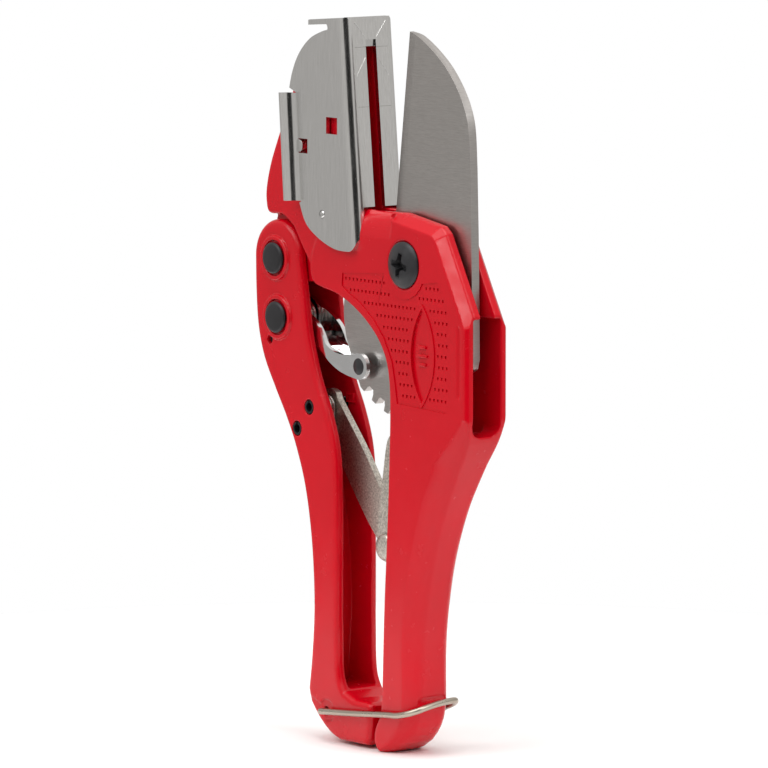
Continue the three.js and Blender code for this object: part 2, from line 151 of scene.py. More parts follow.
def slab(name, outline, y_low, y_high, edge=0.0, segments=4):
    """A closed X-Z outline between two Y levels, its rims rounded by `edge`."""
    bm = drawn_out([(x, y_low, z) for x, z in outline], (0, y_high - y_low, 0))
    if edge:
        rims = [e for e in bm.edges if abs(e.verts[0].co.y - e.verts[1].co.y) < 1e-6]
        bmesh.ops.bevel(bm, geom=rims, offset=edge, segments=segments, profile=0.5,
                        affect="EDGES", clamp_overlap=False)
        bmesh.ops.remove_doubles(bm, verts=bm.verts, dist=1e-4)
    return object_from(name, bm)


def turned(name, centre, profile, segments=72):
    """A solid of revolution about an axis along Y; the profile is [(radius, y), ...]."""
    bm = bmesh.new()
    rings = []
    for radius, y in profile:
        if radius == 0:
            rings.append([bm.verts.new((centre[0], y, centre[1]))])
            continue
        rings.append([
            bm.verts.new((x, y, z)) for x, z in arc(centre, radius, 0, 360, segments)[:-1]
        ])
    for a, b in zip(rings, rings[1:]):
        for i in range(segments):
            k = (i + 1) % segments
            corners = [a[i % len(a)], a[k % len(a)], b[k % len(b)], b[i % len(b)]]
            bm.faces.new(list(dict.fromkeys(corners)))
    bmesh.ops.remove_doubles(bm, verts=bm.verts, dist=1e-5)
    return object_from(name, bm)


def bar(name, centre, radius, y_low, y_high, segments=48):
    return turned(name, centre, [(0, y_low), (radius, y_low), (radius, y_high), (0, y_high)],
                  segments)


def block(name, low, high):
    bm = bmesh.new()
    bmesh.ops.create_cube(bm, size=1)
    size = [h - l for l, h in zip(low, high)]
    bmesh.ops.scale(bm, vec=size, verts=bm.verts)
    bmesh.ops.translate(bm, vec=[(h + l) / 2 for l, h in zip(low, high)], verts=bm.verts)
    return object_from(name, bm)


def along_x(name, outline, x_low, x_high):
    """A closed (y, z) outline drawn out along X."""
    corners = [(x_low, y, z) for y, z in outline]
    return object_from(name, drawn_out(corners, (x_high - x_low, 0, 0)))


def loft(name, rings):
    """A closed solid through rings of corners that match one to one."""
    bm = bmesh.new()
    loops = [[bm.verts.new(p) for p in ring] for ring in rings]
    for a, b in zip(loops, loops[1:]):
        for i in range(len(a)):
            k = (i + 1) % len(a)
            bm.faces.new([a[i], a[k], b[k], b[i]])
    bm.faces.new(loops[0])
    bm.faces.new(loops[-1])
    bmesh.ops.triangulate(bm, faces=bm.faces)
    return object_from(name, bm)


def prism(name, corners_a, corners_b):
    """A convex solid between two matching rings of corners."""
    bm = bmesh.new()
    for corner in [*corners_a, *corners_b]:
        bm.verts.new(corner)
    bmesh.ops.convex_hull(bm, input=bm.verts)
    return object_from(name, bm)


def bake(obj):
    """Apply an object's modifiers to its mesh."""
    graph = bpy.context.evaluated_depsgraph_get()
    mesh = bpy.data.meshes.new_from_object(obj.evaluated_get(graph))
    obj.modifiers.clear()
    obj.data = mesh
    return obj


def combine(target, operation, tools):
    for tool in tools:
        mod = target.modifiers.new("boolean", "BOOLEAN")
        mod.operation = operation
        mod.object = tool
        mod.solver = "MANIFOLD"
    bake(target)
    for tool in tools:
        bpy.data.objects.remove(tool)
    return target


def joined(target, *tools):
    return combine(target, "UNION", tools)


def cut(target, *tools):
    return combine(target, "DIFFERENCE", tools)


def common(target, *tools):
    return combine(target, "INTERSECT", tools)


def melt(obj, voxel, rounds):
    """Give a casting the soft fillets that paint and casting leave on every edge."""
    remesh = obj.modifiers.new("remesh", "REMESH")
    remesh.mode = "VOXEL"
    remesh.voxel_size = voxel
    relax = obj.modifiers.new("relax", "SMOOTH")
    relax.factor = 0.5
    relax.iterations = rounds
    bake(obj)
    obj.data.shade_smooth()
    return obj


def smooth_to(obj, angle):
    """Smooth shading that stops at edges over `angle` degrees."""
    obj.data.shade_smooth()
    obj.data.set_sharp_from_angle(angle=math.radians(angle))
    return obj


def shade(obj, angle):
    """Smooth shading that stops at edges over `angle` and keeps large faces flat."""
    smooth_to(obj, angle)
    even = obj.modifiers.new("even", "WEIGHTED_NORMAL")
    even.keep_sharp = True
    even.weight = 100
    return bake(obj)


def soften(obj, width, segments=2, angle=32):
    """Round the machined edges of a piece and shade its faces flat."""
    weld = obj.modifiers.new("weld", "WELD")
    weld.merge_threshold = 0.002
    bevel = obj.modifiers.new("bevel", "BEVEL")
    bevel.width = width
    bevel.segments = segments
    bevel.limit_method = "ANGLE"
    bevel.angle_limit = math.radians(angle)
    return shade(bake(obj), angle)


def tube(name, points, radius, sides=6):
    """A round wire through 3-D points, in millimetres."""
    curve = bpy.data.curves.new(name, "CURVE")
    curve.dimensions = "3D"
    curve.bevel_depth = radius
    curve.bevel_resolution = sides
    curve.use_fill_caps = True
    spline = curve.splines.new("POLY")
    spline.points.add(len(points) - 1)
    for at, point in zip(spline.points, points):
        at.co = (*point, 1)
    obj = new_object(name, curve)
    graph = bpy.context.evaluated_depsgraph_get()
    mesh = bpy.data.meshes.new_from_object(obj.evaluated_get(graph))
    bpy.data.objects.remove(obj)
    mesh.shade_smooth()
    return new_object(name, mesh)


def place(obj, body, slot, material, *nodes):
    obj.data.transform(Matrix.Translation(PIVOT) @ Matrix.Scale(MM, 4))
    obj.data.materials.clear()
    obj.data.materials.append(material)
    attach(obj, body)
    if nodes:
        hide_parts(*nodes)
    return obj


# ---- materials -----------------------------------------------------------------------
class Shader:
    """A small wrapper over one material's node tree."""

    def __init__(self, name):
        self.material = bpy.data.materials.new(name)
        self.material.use_nodes = True
        self.tree = self.material.node_tree
        self.principled = self.tree.nodes["Principled BSDF"]
        self.coords = self.add("ShaderNodeTexCoord").outputs["Object"]

    def add(self, kind, **values):
        node = self.tree.nodes.new(kind)
        for key, value in values.items():
            setattr(node, key, value)
        return node

    def link(self, source, target):
        self.tree.links.new(source, target)

    def set(self, **values):
        for key, value in values.items():
            self.principled.inputs[key.replace("_", " ")].default_value = value

    def noise(self, scale, stretch=(1, 1, 1), detail=4.0, roughness=0.55):
        mapping = self.add("ShaderNodeMapping")
        mapping.inputs["Scale"].default_value = stretch
        self.link(self.coords, mapping.inputs["Vector"])
        node = self.add("ShaderNodeTexNoise")
        node.inputs["Scale"].default_value = scale
        node.inputs["Detail"].default_value = detail
        node.inputs["Roughness"].default_value = roughness
        self.link(mapping.outputs["Vector"], node.inputs["Vector"])
        return node.outputs["Fac"]

    def spread(self, source, low, high, socket):
        node = self.add("ShaderNodeMapRange")
        node.inputs["From Min"].default_value = 0.3
        node.inputs["From Max"].default_value = 0.7
        node.inputs["To Min"].default_value = low
        node.inputs["To Max"].default_value = high
        self.link(source, node.inputs["Value"])
        self.link(node.outputs["Result"], self.principled.inputs[socket])

    def tint(self, source, dark, light):
        node = self.add("ShaderNodeValToRGB")
        node.color_ramp.elements[0].position = 0.3
        node.color_ramp.elements[1].position = 0.7
        node.color_ramp.elements[0].color = (*dark, 1)
        node.color_ramp.elements[1].color = (*light, 1)
        self.link(source, node.inputs["Fac"])
        self.link(node.outputs["Color"], self.principled.inputs["Base Color"])

    def bump(self, *layers):
        """Stack (source, strength, distance) bumps on the surface normal."""
        normal = None
        for source, strength, distance in layers:
            node = self.add("ShaderNodeBump")
            node.inputs["Strength"].default_value = strength
            node.inputs["Distance"].default_value = distance
            self.link(source, node.inputs["Height"])
            if normal:
                self.link(normal, node.inputs["Normal"])
            normal = node.outputs["Normal"]
        self.link(normal, self.principled.inputs["Normal"])


def enamel():
    """Glossy red enamel with a faint orange peel."""
    s = Shader("enamel_red")
    s.set(Metallic=0.0, Specular_IOR_Level=0.32)
    s.tint(s.noise(35), (0.56, 0.0004, 0.0085), (0.62, 0.0006, 0.0105))
    s.spread(s.noise(220), 0.20, 0.28, "Roughness")
    s.bump((s.noise(900, detail=2), 0.05, 0.00005), (s.noise(120, detail=1), 0.04, 0.0002))
    return s.material


def brushed_blade():
    """Stainless brushed along the blade's width."""
    s = Shader("blade_steel")
    s.set(Metallic=1.0, Anisotropic=0.45)
    grain = s.noise(60, (6, 6, 160), 6, 0.7)
    s.tint(grain, (0.42, 0.40, 0.385), (0.60, 0.58, 0.56))
    s.spread(s.noise(60, (4, 4, 240), 5, 0.7), 0.26, 0.42, "Roughness")
    s.bump((grain, 0.35, 0.00006), (s.noise(25, (1, 1, 1), 3), 0.04, 0.0005))
    return s.material


def bright_sheet():
    """Bright rolled sheet: faint vertical grain and slight hand-sized waviness."""
    s = Shader("bright_sheet")
    s.set(Metallic=1.0)
    grain = s.noise(50, (70, 70, 2), 5, 0.6)
    s.tint(grain, (0.70, 0.70, 0.69), (0.80, 0.80, 0.79))
    s.spread(s.noise(45, (30, 30, 1.5), 4), 0.13, 0.24, "Roughness")
    s.bump((grain, 0.10, 0.00004), (s.noise(28, (1, 1, 0.5), 1), 0.4, 0.0012))
    return s.material


def chrome_plate(name, tone, low, high, wave=260, swell=0.02):
    s = Shader(name)
    s.set(Metallic=1.0)
    s.tint(s.noise(90), tuple(0.94 * c for c in tone), tone)
    s.spread(s.noise(300), low, high, "Roughness")
    s.bump((s.noise(wave, detail=1), swell, 0.0012), (s.noise(1500, detail=1), 0.05, 0.00003))
    return s.material


def satin_nickel():
    """Bead-blasted nickel plate with a visible sparkle of grain."""
    s = Shader("satin_nickel")
    s.set(Metallic=1.0)
    grain = s.noise(1500, detail=3, roughness=0.7)
    s.tint(grain, (0.30, 0.275, 0.24), (0.84, 0.80, 0.72))
    s.spread(grain, 0.34, 0.5, "Roughness")
    s.bump((grain, 0.55, 0.00012), (s.noise(90, detail=2), 0.05, 0.0003))
    return s.material


def black_steel(name, tone, low, high):
    """Satin black oxide with slight rub marks."""
    s = Shader(name)
    s.set(Metallic=0.25, Specular_IOR_Level=0.45)
    s.tint(s.noise(160, detail=5), tuple(0.75 * c for c in tone), tone)
    s.spread(s.noise(500), low, high, "Roughness")
    s.bump((s.noise(1400, detail=2), 0.18, 0.00005))
    return s.material


RED = enamel()
BLADE = brushed_blade()
SHEET_METAL = bright_sheet()
CHROME = chrome_plate("pawl_chrome", (0.80, 0.81, 0.82), 0.06, 0.14, 110, 0.5)
PIN_STEEL = chrome_plate("bright_pin", (0.76, 0.76, 0.75), 0.14, 0.22)
SPRING = chrome_plate("spring_steel", (0.66, 0.64, 0.60), 0.14, 0.24)
WASHER = chrome_plate("washer_steel", (0.58, 0.58, 0.57), 0.25, 0.38)
WIRE = chrome_plate("latch_wire", (0.46, 0.41, 0.34), 0.24, 0.36)
NICKEL = satin_nickel()
BLACK = black_steel("black_oxide", (0.030, 0.030, 0.033), 0.30, 0.42)
RIVET = black_steel("black_rivet", (0.026, 0.026, 0.029), 0.32, 0.46)
ROLL_PIN = black_steel("black_roll_pin", (0.018, 0.018, 0.020), 0.30, 0.42)

FRAME_BODY = "fixed_handle_body"
LEVER_BODY = "moving_handle_body"


# ---- fixed casting -------------------------------------------------------------------
HEAD_TOP = [(-3, 15.2), (14.6, 12.4), (17.2, 10.2), (30.2, -13.4), (30.2, -44)]
GRIP_BACK = [(30.2, -44), (28.2, -51.2), (21.9, -61.7), (15.3, -73.7), (9.7, -88.3),
             (6.4, -102.9), (4.8, -116), (4.5, -131)]
LATCH_NOTCH = (6.7, -131.4)  # where the closed latch wire lies in the handle's back edge
LATCH_NOTCH_R = 2.9


def casting_outline():
    back = smooth(GRIP_BACK)
    foot = smooth([(4.1, -133.4), (2.4, -138.8), (-2, -144), (-7.5, -147.2), (-12.2, -147.6),
                   (-14.3, -144.4), (-13.6, -140.4), (-11.2, -136.5)])
    front = smooth([(-10.6, -130), (-9.7, -105), (-8.4, -83.5), (-7.3, -62), (-6.8, -45),
                    (-7.2, -35.5), (-9, -28.6), (-13, -22.8), (-19, -17.8), (-26, -13.8),
                    (-33, -11.2), (-40, -9.9), (-44, -8.6), (-45.7, -5.4), (-45.4, -0.8),
                    (-43.2, 4.4)])
    return [(-41, 7.2), (-30, 15), (-15.5, 14.8), *HEAD_TOP[:-1], *back, *foot, *front]


def jaw_outline():
    back = smooth([(-54.2, 7.4), (-60, 10.8), (-66.6, 10.9), (-68.2, 14.8), (-67.9, 19.6),
                   (-65.8, 26.5), (-62.5, 33.6)], 5)
    crown = smooth([(-56, 46.5), (-50.5, 56), (-43, 63.4), (-34.5, 67.6), (-28.8, 68)], 5)
    return [(-23, 6), (-44, -6), (-46.5, -3), (-50.6, 2.4), *back, *crown, (-23.6, 14)]


def lug_outline():
    crest = [(-50, 8), (-54.2, 10.9), (-60, 11.4), (-65.4, 11.4), (-66.6, 8.2)]
    return [*arc(HANDLE_PIVOT, 7.3, 112, 262, 24), (-44, -8.6), (-40, 6), *crest]


def cavity_outline():
    return [(-60, -13.6), (-24, -13.6), (-14, -14.2), (22, -14.2), (22, -49.4), (14, -49.8),
            (3.5, -58), (-1.6, -72), (-3.2, -97), (-30, -97), (-60, -60)]


def window():
    """The opening through the head's right side, with round lower corners."""
    half, low, high, bend = CAVITY_HALF, -49.4, -14.2, 3.4
    outline = [(half, high), (-half, high), *arc((bend - half, low + bend), bend, 180, 270, 10),
               *arc((half - bend, low + bend), bend, 270, 360, 10)]
    return along_x("window", outline, 20, 45)


def edge_chamfer(start, end, depth, side):
    """The wedge that takes a chamfer off one long edge of the head."""
    along = (Vector(end) - Vector(start)).normalized()
    out = Vector((-along.y, along.x))
    reach = [Vector(start) - along * 2.5, Vector(end) + along * 2.5]
    face = side * BODY_HALF
    profile = [(-depth, face), (0.0, face - side * depth), (4.0, face - side * depth),
               (4.0, face + side * 3), (-depth, face + side * 3)]
    rings = [[((p + out * d).x, y, (p + out * d).y) for d, y in profile] for p in reach]
    return prism("chamfer", *rings)


BACK_EDGE = [*GRIP_BACK, (4.1, -134), (2.4, -138.8), (-2, -144), (-7.5, -147.2),
             (-12.2, -148.4)]
# how far the rounding of the grip's back edge reaches: (z, along X, along Y)
ROUNDING = [(-44, 3.0, 1.2), (-51, 7.2, 2.6), (-58, 9.6, 3.6), (-70, 8.7, 4.4),
            (-88, 6.8, 5.0), (-107, 6.2, 5.0), (-125, 5.4, 4.8), (-140, 5.0, 4.4),
            (-149, 4.6, 4.2)]


def between(rows, z):
    """Linear values from rows of (z, ...) in falling z."""
    for a, b in zip(rows, rows[1:]):
        if z >= b[0]:
            t = min(max((a[0] - z) / (a[0] - b[0]), 0), 1)
            return [p + (q - p) * t for p, q in zip(a[1:], b[1:])]
    return list(rows[-1][1:])


def grip_rounding():
    """What the soft rounding takes off the back edges of the fixed handle."""
    curve = [(z, x) for x, z in smooth(BACK_EDGE, 6)]
    start = math.radians(24)
    rings = []
    for step in range(45):
        z = -44 - step * 105 / 44
        (right,), (along, deep) = between(curve, z), between(ROUNDING, z)
        corner = []
        for i in range(25):
            t = start + (math.pi / 2 - start) * i / 24
            inward = 1 - (math.sin(t) - math.sin(start)) / (1 - math.sin(start))
            fall = 1 - math.cos(t) / math.cos(start)
            corner.append((right + 0.02 - along * inward, -BODY_HALF - 0.02 + deep * fall))
        ring = [(-60, -9), (-60, -8.02), *corner, *[(x, -y) for x, y in reversed(corner)],
                (-60, 8.02), (-60, 9), (60, 9), (60, -9)]
        rings.append([(x, y, z) for x, y in ring])
    return loft("grip_rounding", rings)


def throat_scoop(side):
    """The large rounding between the throat and the head's face, beside the anvil's foot."""
    curve = [(side * (2.7 + 5.5 * math.sin(t)), 4.2 + 11.2 * math.cos(t))
             for t in [math.radians(7.5 * i) for i in range(13)]]
    return along_x("scoop", [*curve, (side * 9, 4.2), (side * 9, 18), (side * 2.7, 18)],
                   -22.4, -6.1)


PANEL = [(-29.5, -4.6), (-9.6, -3.2), *arc((0, 0), 10.2, 197, 331, 24), (16.5, -3.9),
         (21.4, -11.3), (22.9, -25.3), (22.7, -38.6), *arc((19.7, -39.6), 3, 0, -84, 6),
         (-3.0, -41.7), (-4.0, -36), (-5.6, -29.2), (-9.6, -22.4), (-14.4, -17.6),
         (-20.4, -13.2), (-27, -10.2), (-29.8, -8.4)]
LENS_MID = (8.8, -26.4)
LENS_R = 22.0
LENS_OFF = 16.9  # from the lens's middle to the centres of its two arcs


def lens(grow=0.0):
    """A pointed oval made of two arcs."""
    x, z = LENS_MID
    radius = LENS_R + grow
    turn = math.degrees(math.acos(LENS_OFF / radius))
    return [*arc((x - LENS_OFF, z), radius, -turn, turn, 32)[:-1],
            *arc((x + LENS_OFF, z), radius, 180 - turn, 180 + turn, 32)[:-1]]


PANEL_DEPTH = 0.32
LENS_DEPTH = 0.6
# the mouth of one grip pit, as (x, z) from its middle
PIT = [(-0.46, 0.55), (0.46, 0.55), (0.3, -0.5), (-0.3, -0.5)]


def inside(point, outline):
    x, z = point
    hit = False
    for (xa, za), (xb, zb) in zip(outline, [*outline[1:], outline[0]]):
        if (za > z) != (zb > z) and x < (xb - xa) * (z - za) / (zb - za) + xa:
            hit = not hit
    return hit


def around(point, distance):
    """Eight points round a point, to test how near an outline it lies."""
    reach = [(0, 1), (1, 0), (0, -1), (-1, 0), (0.7, 0.7), (0.7, -0.7), (-0.7, 0.7), (-0.7, -0.7)]
    return [(point[0] + distance * dx, point[1] + distance * dz) for dx, dz in reach]


def grip_pits():
    """One mesh of small tapered pits, in rows, over the panel and clear of the lens."""
    bm = bmesh.new()
    clear = lens(0.5)
    top = -BODY_HALF + PANEL_DEPTH
    for row in range(13):
        z = -6.2 - 3.3 * row
        for column in range(32):
            x = -30 + 1.85 * column + (row % 2) * 0.5
            ring = around((x, z), 1.2)
            if not all(inside(p, PANEL) for p in ring) or any(inside(p, clear) for p in ring):
                continue
            rims = [(x + dx, top - 0.25, z + dz) for dx, dz in PIT]
            floor_ring = [(x + dx * 0.6, top + 0.55, z + dz * 0.6 + 0.1) for dx, dz in PIT]
            verts = [bm.verts.new(p) for p in [*rims, *floor_ring]]
            bmesh.ops.convex_hull(bm, input=verts)
    return object_from("grip_pits", bm)


def panel_relief():
    """The shallow recess of the grip panel with its raised rim, and the dished lens in it."""
    recess = slab("panel", PANEL, -BODY_HALF - 2, -BODY_HALF + PANEL_DEPTH)
    island = slab("island", lens(0.9), -BODY_HALF - 3, -BODY_HALF + 2)
    dish = slab("dish", lens(), -BODY_HALF - 2, -BODY_HALF + LENS_DEPTH)
    for vert in dish.data.vertices:
        if vert.co.y > -BODY_HALF:
            vert.co.y -= 0.045 * (vert.co.x - LENS_MID[0])
    return joined(cut(recess, island), dish)


def fixed_casting():
    mass = joined(
        slab("fixed_casting_cover", casting_outline(), -BODY_HALF, BODY_HALF, 0.9, 4),
        slab("jaw", jaw_outline(), 0.3 - BODY_HALF, BODY_HALF - 0.3, 1, 3),
        slab("lug", lug_outline(), -4.9, 4.9, 0.5, 2),
    )
    groove = [*arc((26.4, -17), 0.7, 0, 180, 8), *arc((26.4, -37), 0.7, 180, 360, 8)]
    tools = [
        bar("sweep", (0, 0), SWEEP_R, -SLOT_HALF, SLOT_HALF, 128),
        block("tip_slot", (-37, -SLOT_HALF, 30), (-10, SLOT_HALF, 75)),
        slab("cavity", cavity_outline(), -CAVITY_HALF, CAVITY_HALF),
        window(),
        grip_rounding(),
        throat_scoop(-1),
        throat_scoop(1),
        slab("groove_front", groove, -BODY_HALF - 1, -BODY_HALF + 0.45),
        slab("groove_back", groove, BODY_HALF - 0.45, BODY_HALF + 1),
        bar("bore", (0, 0), PIVOT_BORE_R, -THROUGH, THROUGH),
        bar("seat_front", (0, 0), SCREW_SEAT_R, -THROUGH, SEAT_DEPTH - BODY_HALF, 64),
        bar("seat_back", (0, 0), SCREW_SEAT_R, BODY_HALF - SEAT_DEPTH, THROUGH, 64),
        bar("rivet_bore", HANDLE_PIVOT, 3.55, -THROUGH, THROUGH),
        bar("pin_bore", ANVIL_PIN, 1.35, -THROUGH, THROUGH),
        bar("latch_notch", LATCH_NOTCH, LATCH_NOTCH_R, -THROUGH, THROUGH),
    ]
    for side in (-1, 1):
        for start, end in zip(HEAD_TOP, HEAD_TOP[1:]):
            depth = 3.0 if start[1] > -13 else 1.3  # slimmer on the head's upright back edge
            tools.append(edge_chamfer(start, end, depth, side))
    cut(mass, *tools)
    melt(mass, CAST_VOXEL, CAST_RELAX)
    cut(mass, panel_relief())
    return shade(cut(mass, grip_pits()), 48)


place(fixed_casting(), FRAME_BODY, "enamel_red", RED, "fixed_casting")


def lens_bars():
    """Three plain raised bars in the lens."""
    x, z = LENS_MID
    bars = [
        slab("lens_bars", [*arc((x - half, z + up), 0.5, 90, 270, 8),
                           *arc((x + half, z + up), 0.5, -90, 90, 8)],
             -BODY_HALF - 0.02, -BODY_HALF + 0.9, 0.15, 2)
        for up, half in ((2.6, 1.3), (0, 2.0), (-2.6, 1.3))
    ]
    return joined(*bars)


place(smooth_to(lens_bars(), 40), FRAME_BODY, "enamel_red", RED)


# ---- anvil plate ---------------------------------------------------------------------
WEB_TOP_Z = 72.2
WEB_LOW_Z = 15.6
WEB_TOP = Vector((-26.6, WEB_TOP_Z))
WEB_LOW = Vector((-21.3, WEB_LOW_Z))
WING_IN = BODY_HALF + 0.3
WING_OUT = WING_IN + SHEET
LIP_LOW = (-47.4, 15.9)  # ends of the line where the outward lip's bend starts, as (x, z)
LIP_HIGH = (-49.8, 48.4)
LIP_BEND_R = 3.0
LIP_FLAT = 1.8  # the straight part after the bend
LIP_TURN = 70  # degrees; a square bend would mirror the dark bay back to the camera
FOLD_R = 3.4  # outer radius of the folds between the web and the wings
SCRIBE_END = 6.1  # how far from the middle the scratches on the web reach


def web_x(z):
    return WEB_LOW.x + (z - WEB_LOW.y) * (WEB_TOP.x - WEB_LOW.x) / (WEB_TOP.y - WEB_LOW.y)


def wing_outline():
    root = smooth([(-38.6, 70.8), (-36.2, 70.5), (-35, 69.8), (-34.5, 68.9), (-34.6, 68.2)])
    shoulder = smooth([(-34.6, 68.2), (-37.5, 67.5), (-42.4, 65.6), (-46.4, 62.7),
                       (-49.7, 58.9), (-52.1, 54.2), (-53.4, 49.8)])
    belly = smooth([(-48.4, 15.3), (-45.2, 9.3), (-39.1, 5.3), (-31.8, 2.7), (-25.5, 2.2),
                    (-22.6, 2.9), (-20.8, 6.4)])
    return [*root, *shoulder[1:], LIP_HIGH, LIP_LOW, *belly, (-18.6, 12.4),
            (web_x(WEB_LOW_Z), WEB_LOW_Z)]


def folded_channel():
    """A U section with round bends, swept along the leaning web."""
    def section(z):
        x, reach, small = web_x(z), WING_OUT - FOLD_R, FOLD_R - SHEET

        def fold(side, radius, start, end, count):
            return [(x - FOLD_R + dx, side * reach + dy)
                    for dx, dy in arc((0, 0), radius, start, end, count)]

        outline = [
            (x - 60, -WING_OUT), *fold(-1, FOLD_R, -90, 0, 28), *fold(1, FOLD_R, 0, 90, 28),
            (x - 60, WING_OUT), (x - 60, WING_IN), *fold(1, small, 90, 0, 18),
            *fold(-1, small, 0, -90, 18), (x - 60, -WING_IN)]
        return [(px, py, z) for px, py in outline]

    return loft("anvil_cover", [section(-2.0), section(74.0)])


def anvil_side_profile():
    """What the folded channel keeps, seen from the side: the wings and the full web."""
    top = web_x(WEB_TOP_Z)
    return [(top + 3, WEB_TOP_Z), (top - 1, WEB_TOP_Z), (top - 1.2, 71.7), *wing_outline()[:-2],
            (-20.2, 12.4), (-19.4, WEB_LOW_Z), (-17, WEB_LOW_Z)]


def top_flange():
    outline = [(web_x(WEB_TOP_Z) - 0.6, 72.1), (-43, 70.9), (-45.6, 70.5), (-46.6, 69.8),
               (-46.2, 69.1), (-43, 69.3), (web_x(70.8) - 2, 70.3), (web_x(69) - 1.2, 69),
               (web_x(69) - 0.6, 69)]
    reach = WING_OUT - FOLD_R - 0.03

    def ring(z):
        edge = web_x(z) - FOLD_R - 0.03
        tip = [*arc((edge, -reach), FOLD_R, 270, 360, 16), *arc((edge, reach), FOLD_R, 0, 90, 16),
               *arc((-42.6, WING_OUT - 4), 4, 90, 180, 10),
               *arc((-42.6, 4 - WING_OUT), 4, 180, 270, 10)]
        return [(x, y, z) for x, y in tip]

    flange = slab("flange", outline, -WING_OUT - 1, WING_OUT + 1)
    return common(flange, loft("tip", [ring(60), ring(80)]))


def edge_lip(side):
    """The outward lip along the wing's back edge: a bend that leans with the edge."""
    def ring(x, z):
        centre = (x, WING_OUT + LIP_BEND_R)
        near = arc(centre, LIP_BEND_R, 270, 270 - LIP_TURN, 24)
        far = arc(centre, LIP_BEND_R + SHEET, 270 - LIP_TURN, 270, 24)
        lean = math.radians(90 - LIP_TURN)
        lip = Vector((math.sin(-lean), math.cos(lean))) * LIP_FLAT
        path = [(x + 1, WING_OUT), *near, tuple(Vector(near[-1]) + lip),
                tuple(Vector(far[0]) + lip), *far, (x + 1, WING_IN)]
        return [(px, side * py, z) for px, py in path]

    return loft("lip", [ring(*LIP_LOW), ring(*LIP_HIGH)])


def top_corner(side):
    """The rounding of the web's upper corner, taken off beyond the blade slot."""
    round_r = 3.2
    y, z = WING_OUT - round_r, WEB_TOP_Z - round_r
    curve = [(side * (y + round_r * math.sin(t)), z + round_r * math.cos(t))
             for t in [math.radians(9 * i) for i in range(11)]]
    return along_x("corner", [*curve, (side * (WING_OUT + 1), z), (side * (WING_OUT + 1), 75),
                              (side * y, 75)], -29 if side > 0 else -27, -15)


def scribed_line(start, end, width=0.2, depth=0.14):
    """A V-shaped scratch across the web's face; ends are (y, z)."""
    along = Vector((end[0] - start[0], end[1] - start[1])).normalized()
    across = Vector((-along.y, along.x)) * width
    wide = [Vector(start) + across, Vector(end) + across, Vector(end) - across,
            Vector(start) - across]
    deep = [Vector(start), Vector(end)]
    front = [(web_x(p.y) + depth, p.x, p.y) for p in wide]
    back = [(web_x(p.y) - depth, p.x, p.y) for p in deep]
    return prism("scribe", front, back)


def bent_tab(side):
    """The half-round tab pressed out of the lower window."""
    outline = [(-49.4, 34.5), (-49.4, 30.7), *arc((-48.4, 32.6), 1.9, -80, 80, 14)]
    low, high = sorted((side * (WING_IN + 0.1), side * (WING_OUT + 0.35)))
    return slab("tab", outline, low, high)


def slot_bridge():
    """The small bright bridge across the top of the blade slot, set back in it."""
    front = [(web_x(63.3) - 0.8, 63.3), (web_x(65.6) - 0.6, 65.6)]
    outline = [*front, (front[1][0] - 0.9, 65.6), (front[0][0] - 0.9, 63.3)]
    return slab("slot_bridge", outline, -2.05, 2.05)


def anvil_plate():
    sheet = common(folded_channel(), slab("profile", anvil_side_profile(), -20, 20))
    joined(sheet, top_flange(), edge_lip(-1), edge_lip(1))
    cut(sheet, top_corner(-1), top_corner(1))
    scribes = []
    for side in (-1, 1):
        for z in (63.2, 45.4):
            scribes.append(scribed_line((side * 2.0, z), (side * SCRIBE_END, z)))
        for low, high in ((60.2, 54.6), (66.2, 71.0)):
            scribes.append(scribed_line((side * 2.2, low), (side * SCRIBE_END, high)))
    cut(
        sheet,
        block("slot", (-40, -1.95, 10), (-10, 1.95, 65.4)),
        block("foot_gap", (-40, FOLD_R - WING_OUT, -5), (-10, WING_OUT - FOLD_R, WEB_LOW_Z)),
        block("window_high", (-35.2, -20, 37), (-29.8, 20, 42)),
        block("window_low", (-48.8, -20, 30.4), (-44.4, 20, 34.8)),
        bar("bore", ANVIL_PIN, 1.25, -20, 20),
    )
    return shade(cut(sheet, *scribes), 20)


place(anvil_plate(), FRAME_BODY, "bright_sheet", SHEET_METAL, "anvil_plate")

place(soften(slot_bridge(), 0.12), FRAME_BODY, "bright_sheet", SHEET_METAL)

for name, side in (("front", -1), ("back", 1)):
    tab = bent_tab(side)
    place(soften(tab, 0.1), FRAME_BODY, "bright_sheet", SHEET_METAL)
    head = [(0, 9.9), (0.6, 9.88), (1.0, 9.7), (1.2, 9.4), (1.2, 3.2), (0, 3.2)]
    pin = turned("anvil_pin_" + name + "_cover", ANVIL_PIN, [(r, side * y) for r, y in head], 40)
    place(smooth_to(pin, 50), FRAME_BODY, "bright_pin", PIN_STEEL, "anvil_pin_" + name)


